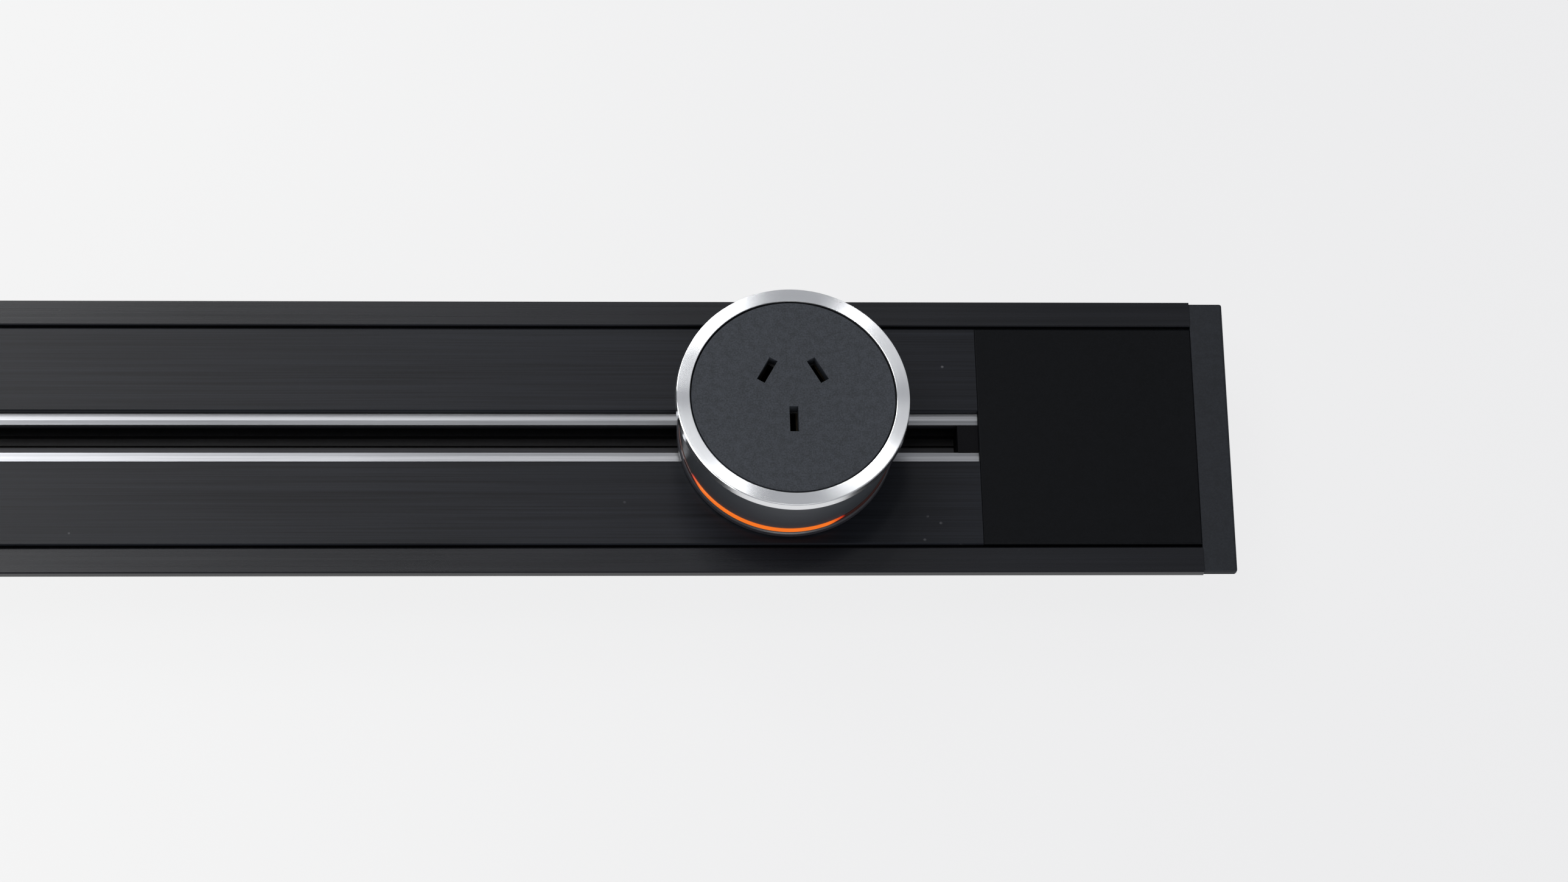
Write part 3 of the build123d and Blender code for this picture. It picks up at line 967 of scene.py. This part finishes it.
@dataclass
class Adapter:
    """The twist-in socket: base, light ring, cup, turned ring and face, in millimetres."""

    axis: Point = AXIS
    ring_radius: float = reach("trim_ring")
    ring_low: float = level("trim_ring", False)
    ring_high: float = level("trim_ring", True)
    ring_width: float = 3.8
    ring_lip: float = 3.0
    ring_slope: float = 0.35
    ring_rim: Sequence[Point] = (
        (0.08, 0.72), (-0.2, 0.66), (-0.2, 0.24), (0.0, 0.18), (-0.02, 0.03), (-0.08, 0.0))
    ring_lip_edge: Point = (0.01, 0.16)
    ring_bore_edge: float = 0.2
    rebate: float = 1.5
    fine_edge: float = 0.06
    brim_inset: float = 0.25
    body_top_radius: float = reach("adapter_body")
    body_taper: float = 2.1
    body_wall: float = 1.5
    body_floor: float = 2.0
    body_edge: float = 0.3
    body_edge_middle: Point = (0.09, 0.07)
    light_low: float = level("light_ring", False)
    light_high: float = level("light_ring", True)
    light_radius: float = reach("light_ring")
    light_width: float = 4.0
    light_edge: Point = (0.15, 0.04)
    base_radius: float = reach("adapter_base")
    base_low: float = 24.3
    base_high: float = level("adapter_base", True)
    base_edge: Point = (0.2, 0.06)
    base_shoulder: Sequence[Point] = ((0.0, 0.55), (0.08, 0.35), (0.25, 0.16), (0.5, 0.0))
    weld: float = 0.4
    key_low: float = level("adapter_base", False)
    key_half: Point = (10.0, 3.8)
    key_corner: float = 2.0
    bore_length: float = 9.0
    stem_radius: float = 2.6
    bearing_radius: float = 2.65
    face_radius: float = reach("socket_face")
    face_low: float = level("socket_face", False)
    face_high: float = level("socket_face", True)
    face_gap: float = 0.3
    face_edge: float = 0.2
    face_rim: float = 1.0
    slot_size: Point = (2.4, 7.3)
    slots: Sequence[Triple] = ((6.86, 7.86, 30.0), (-6.86, 7.86, -30.0), (0.0, -6.41, 0.0))
    slot_edge: float = 0.1
    slot_tolerance: float = 0.02
    lamp_bearings: Sequence[float] = (231.0, 255.0, 279.0)
    lamp_size: float = 2.0
    lamp_gap: float = 0.1

    def build(self) -> None:
        """Builds what shows and dresses the rest."""
        self._base()
        self._light_ring()
        self._shell()
        self._ring()
        self._face()
        dress(SHADED_BRASS, "live_socket_contact", "neutral_socket_contact", "earth_socket_contact",
              "earth_tip")
        dress(COPPER, "live_wing", "neutral_wing")
        dress(INSULATOR, "contact_block")
        dress(STEM, "twist_stem")
        dress(BOARD, "led_board")
        dress(LAMP, "leds")

    def _base(self) -> None:
        """The gliding disc, with its key in the slot."""
        r, low, high = self.base_radius, self.base_low, self.base_high
        edge, middle = self.base_edge
        piece = Bench.turned("adapter_glide_base", self.axis, [
            (self.bearing_radius, low), (r - edge, low), (r - middle, low + middle),
            (r, low + edge), *((r - inward, high - down) for inward, down in self.base_shoulder),
            (self.bearing_radius, high),
        ])
        x, y = self.axis
        half_x, half_y = self.key_half
        key = Bench.block("key", (x - half_x * MM, y - half_y * MM, self.key_low * MM),
                          (x + half_x * MM, y + half_y * MM, (low + self.weld) * MM))
        Bench.pick_edges(key, lambda a, b: abs(a.z - b.z) > SPARE)
        Bench.bevel(self.key_corner, segments=6)
        Bench.carve(piece, [key], "UNION")
        bore = Bench.post("bore", (x, y, self.key_low * MM - SPARE), self.bearing_radius * MM,
                          self.bore_length * MM)
        Bench.carve(piece, [bore])
        Bench.finish(piece, Body.CARRIAGE, BASE, ["adapter_base"])

    def _light_ring(self) -> None:
        """The translucent ring."""
        r, low, high = self.light_radius, self.light_low, self.light_high
        bore = r - self.light_width
        edge, middle = self.light_edge
        piece = Bench.turned("status_light_ring", self.axis, [
            (bore, low), (r - edge, low), (r - middle, low + middle), (r, low + edge),
            (r, high - edge), (r - middle, high - middle), (r - edge, high), (bore, high),
        ])
        Bench.finish(piece, Body.HEAD, LENS, ["light_ring"])

    def _shell(self) -> None:
        """The tapered cup, stepped under its floor for the light ring."""
        low, top = self.light_high, self.ring_low
        inside = low + self.body_floor
        head, foot = self.body_top_radius, self.body_top_radius - self.body_taper
        bore, step = foot - self.body_wall, self.light_radius - self.light_width
        rise = (head - foot) / (top - low)
        lip, brim = self.ring_high - self.ring_lip, self.ring_radius - self.brim_inset
        seat, fine, edge = self.ring_radius - self.rebate, self.fine_edge, self.body_edge
        inward, upward = self.body_edge_middle
        piece = Bench.turned("adapter_shell", self.axis, [
            (self.stem_radius, self.light_low), (step, self.light_low), (step, low),
            (foot - edge, low), (foot - inward, low + upward), (foot + rise * edge, low + edge),
            (head, top), (brim, lip - fine), (brim - fine, lip), (seat, lip), (seat, top),
            (bore, top), (bore, inside), (self.stem_radius, inside),
        ])
        half = self.lamp_size / 2
        out = step + self.lamp_gap + half
        windows = []
        for bearing in self.lamp_bearings:
            turn = math.radians(bearing)
            x = self.axis[0] + out * math.cos(turn) * MM
            y = self.axis[1] + out * math.sin(turn) * MM
            windows.append(Bench.block(
                "window", (x - half * MM, y - half * MM, low * MM - SPARE),
                (x + half * MM, y + half * MM, inside * MM + SPARE), bearing))
        Bench.carve(piece, windows)
        Bench.finish(piece, Body.HEAD, SHELL, ["adapter_body"])

    def _ring(self) -> None:
        """The turned ring: flat on top, a fine line under its edge, its side sloping to a lip."""
        r, low, high = self.ring_radius, self.ring_low, self.ring_high
        bore, lip, flat = r - self.ring_width, high - self.ring_lip, r - self.ring_slope
        seat, fine, edge = r - self.rebate, self.fine_edge, self.ring_bore_edge
        inward, upward = self.ring_lip_edge
        piece = Bench.turned("turned_trim_ring", self.axis, [
            (bore, low), (seat, low), (seat, lip), (r - fine, lip), (r, lip + fine),
            (r - inward, lip + upward),
            *((flat + outward, high - down) for outward, down in self.ring_rim),
            (bore + edge, high), (bore + fine, high - fine), (bore, high - edge),
        ], FINE_ROUND)
        Bench.finish(piece, Body.HEAD, RING, ["trim_ring"])

    def _face(self) -> None:
        """The socket's plate, with three flat-pin slots."""
        x, y = self.axis
        low, high = self.face_low * MM, self.face_high * MM
        radius = (self.face_radius - self.face_gap) * MM
        piece = Bench.post("socket_plate", (x, y, low), radius, high - low, ROUND)
        near = (self.face_radius - self.face_rim) * MM
        Bench.pick_edges(piece, lambda a, b: min(a.z, b.z) > high - CLOSE)
        Bench.bevel(self.face_edge, segments=3)
        wide, long = self.slot_size
        cutters = [
            Bench.block("pin", (x + (dx - wide / 2) * MM, y + (dy - long / 2) * MM, low - SPARE),
                        (x + (dx + wide / 2) * MM, y + (dy + long / 2) * MM, high + SPARE), lean)
            for dx, dy, lean in self.slots
        ]
        Bench.carve(piece, cutters)

        def on_rim(a: Vector, b: Vector) -> bool:
            """Whether an edge between two points is the upper rim of a pin slot."""
            inside = all(math.hypot(p.x - x, p.y - y) < near and p.z > high - CLOSE for p in (a, b))
            length = (a - b).length / MM
            return inside and any(abs(length - side) < self.slot_tolerance for side in (wide, long))

        Bench.pick_edges(piece, on_rim)
        Bench.bevel(self.slot_edge, segments=2)
        Bench.finish(piece, Body.HEAD, FACE, ["socket_face"])


@dataclass
class Softbox:
    """One soft lamp, aimed at the adapter.

    Its place is reckoned from the mirror direction of the camera: how far off that it hangs, and
    on which bearing.
    """

    name: str
    slope: float
    bearing: float
    distance: float
    size: Point
    power: float

    def build(self, target: Vector, mirror: Vector) -> None:
        """Hangs the lamp.

        Args:
            target: the point that it lights.
            mirror: the direction in which a level mirror at that point shows the camera.
        """
        data = bpy.data.lights.new(self.name, "AREA")
        data.shape = "RECTANGLE"
        data.size, data.size_y = self.size
        data.energy = self.power
        lamp = bpy.data.objects.new(self.name, data)
        bpy.context.scene.collection.objects.link(lamp)
        turn = math.radians(self.bearing)
        long_way = Vector((math.cos(turn), math.sin(turn), 0))
        way = Vector((mirror.x, mirror.y, 0)) + self.slope * long_way
        way.z = math.sqrt(1 - way.length_squared)
        side = long_way.cross(way).normalized()
        lamp.location = target + way * self.distance
        lamp.rotation_euler = Matrix((side, way.cross(side), way)).transposed().to_euler()
        lamp.visible_camera = False


@dataclass
class Studio:
    """The pale floor, the soft light and the camera."""

    # The floor's colour darkens from left to right: painted shade standing for the light falling
    # off across it.
    floor_left: Colour = painted(244, 244, 244)
    floor_right_shaded: Colour = painted(236, 236, 237)
    floor_drop: float = 0.2
    floor_width: float = 12.0
    floor_shade_span: Point = (-0.25, 0.3)
    floor_cloud: Triple = (3, 3, 3)
    shadow_share: float = 0.035
    zenith: Colour = (0.40, 0.41, 0.43, 1.0)
    horizon: Colour = (0.34, 0.35, 0.37, 1.0)
    front: Colour = (0.45, 0.46, 0.48, 1.0)
    softboxes: Sequence[Softbox] = (
        Softbox("back_strip", 0.35, 137.5, 1.6, (0.25, 0.7), 5.8),
        Softbox("over_strip", 0.335, 233.5, 1.6, (0.11, 0.6), 2.0),
        Softbox("left_back_panel", 0.55, 156.0, 0.74, (0.34, 0.26), 2.0),
        Softbox("left_front_panel", 0.59, 207.0, 0.74, (0.29, 0.26), 1.75),
        Softbox("front_panel", 1.32, 268.5, 1.2, (0.6, 0.6), 8.5),
    )
    aim_height: float = 0.03
    camera_place: Triple = (-0.0934, -0.7647, 1.8467)
    camera_turn: Triple = (22.795, -4.56, -1.90)
    lens: float = 167.1
    sensor: float = 36.0
    sight: float = 20.0

    def build(self) -> None:
        """Sets the floor, world, lamps, camera and colour view."""
        self._floor()
        self._world()
        target = Vector((*AXIS, self.aim_height))
        away = (Vector(self.camera_place) - target).normalized()
        mirror = Vector((-away.x, -away.y, away.z))
        for softbox in self.softboxes:
            softbox.build(target, mirror)
        self._camera()
        bpy.context.scene.view_settings.view_transform = "Standard"

    def _floor(self) -> None:
        """A pale floor that keeps a faint shadow, with painted shade that darkens it towards the
        right.
        """
        Bench.free()
        bpy.ops.mesh.primitive_plane_add(size=1, location=(0, 0, -self.floor_drop * MM))
        floor = bpy.context.object
        Bench.edit(floor, "FACE")
        bpy.ops.transform.resize(value=(self.floor_width, self.floor_width, 1))
        bpy.ops.mesh.subdivide(number_cuts=3)
        floor = Bench.settle(floor, "studio_floor")
        made = bpy.data.materials.new("pale_floor")
        made.use_nodes = True
        graph = Graph(made.node_tree)
        cloud = graph.noise(graph.place(rate=self.floor_cloud))
        along = graph.axes(graph.place())[0]
        # Painted shade: the floor's colour is blended darker towards the right, as the light falls
        # off.
        painted_falloff = graph.between(along + (cloud - 0.5) * 0.1, *self.floor_shade_span)
        colour = graph.blend(painted_falloff, self.floor_left, self.floor_right_shaded)
        matt = graph.node("ShaderNodeBsdfDiffuse", None, {"Color": colour})
        flat = graph.node("ShaderNodeEmission", None, {"Color": colour, "Strength": 1.0})
        camera = graph.node("ShaderNodeLightPath", output="Is Camera Ray")
        outputs = camera.socket.node.outputs
        glossy = Wire(graph, outputs["Is Glossy Ray"])
        through = Wire(graph, outputs["Is Transmission Ray"])
        seen = graph.node("ShaderNodeMath", {"operation": "MINIMUM"}, {
            0: camera + glossy + through, 1: 1.0})
        share = seen * (1 - self.shadow_share)
        mixed = graph.node("ShaderNodeMixShader", None, {0: share, 1: matt, 2: flat})
        graph.node("ShaderNodeOutputMaterial", None, {"Surface": mixed})
        floor.data.materials.append(made)

    def _world(self) -> None:
        """A soft grey sky, a little brighter behind the camera."""
        world = bpy.data.worlds.new("soft_studio")
        world.use_nodes = True
        bpy.context.scene.world = world
        graph = Graph(world.node_tree)
        where = graph.node("ShaderNodeTexCoord", output="Generated")
        _, depth, up = graph.axes(where)
        low = graph.blend(graph.between(depth, 0.1, -0.9), self.horizon, self.front)
        colour = graph.blend(graph.between(up, 0.1, 0.9), low, self.zenith)
        light = graph.node("ShaderNodeBackground", None, {"Color": colour, "Strength": 1.0})
        graph.node("ShaderNodeOutputWorld", None, {"Surface": light})

    def _camera(self) -> None:
        """The camera at the photograph's viewing angle."""
        data = bpy.data.cameras.new("viewpoint")
        data.lens = self.lens
        data.sensor_width = self.sensor
        data.clip_end = self.sight
        camera = bpy.data.objects.new("viewpoint", data)
        bpy.context.scene.collection.objects.link(camera)
        camera.location = self.camera_place
        camera.rotation_euler = [math.radians(a) for a in self.camera_turn]
        bpy.context.scene.camera = camera


def main() -> None:
    """Builds the track, the feed end, the adapter and the studio."""
    logging.basicConfig(level=logging.INFO, format="%(message)s")
    Track().build()
    FeedEnd().build()
    Adapter().build()
    Studio().build()


if __name__ == "__main__":
    main()
